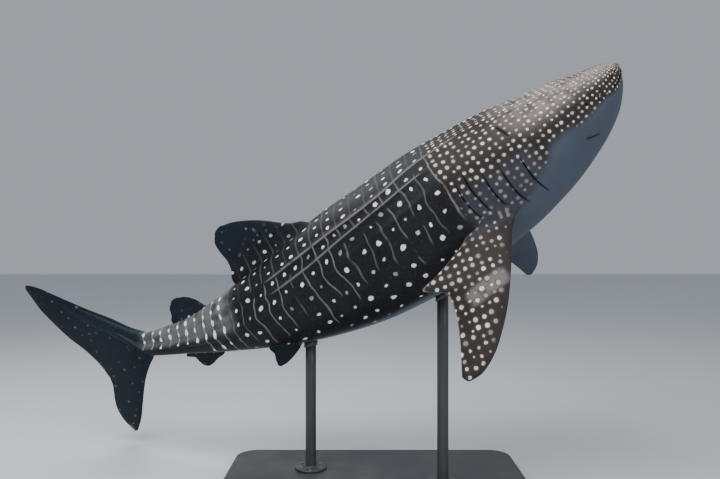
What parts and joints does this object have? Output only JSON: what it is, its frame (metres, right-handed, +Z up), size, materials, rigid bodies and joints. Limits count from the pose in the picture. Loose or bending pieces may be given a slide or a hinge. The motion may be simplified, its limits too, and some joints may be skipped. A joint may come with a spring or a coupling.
{
  "type": "whale shark model",
  "caption": "Life-size juvenile whale shark, climbing and banked, with gill slits, flank ridges, spread fins and a crescent tail, held by a flat base and two rods.",
  "frame": {"origin": "middle of the bounding box at floor level, on the plane of the base's underside", "axes": "+X towards the end that carries the head, +Z up, the right flank of the animal faces -Y"},
  "size_m": [4.7204, 1.989, 3.1186],
  "materials": {
    "head_skin": "cast skin with a slight sheen, brown-grey with pale spots",
    "back_skin": "cast skin with a slight sheen, charcoal with pale spots and bars, pale belly",
    "fin_skin": "cast skin with a slight sheen, dark blue-grey with faint spots",
    "eye": "polished",
    "stand_paint": "satin powder coat"
  },
  "bodies": {
    "root": {"head": "head_skin", "gill_region": "head_skin", "trunk_front": "back_skin", "trunk_rear": "back_skin", "tail_stalk": "back_skin", "caudal_fin_upper": "fin_skin", "caudal_fin_lower": "fin_skin", "first_dorsal_fin": "fin_skin", "second_dorsal_fin": "fin_skin", "anal_fin": "fin_skin", "pectoral_fin_right": "head_skin", "pectoral_fin_left": "head_skin", "pelvic_fin_right": "fin_skin", "pelvic_fin_left": "fin_skin", "eye_right": "eye", "eye_left": "eye", "stand_base": "stand_paint", "stand_foot_front": "stand_paint", "stand_foot_rear": "stand_paint", "stand_rod_front": "stand_paint", "stand_rod_rear": "stand_paint"}
  },
  "joints": []
}
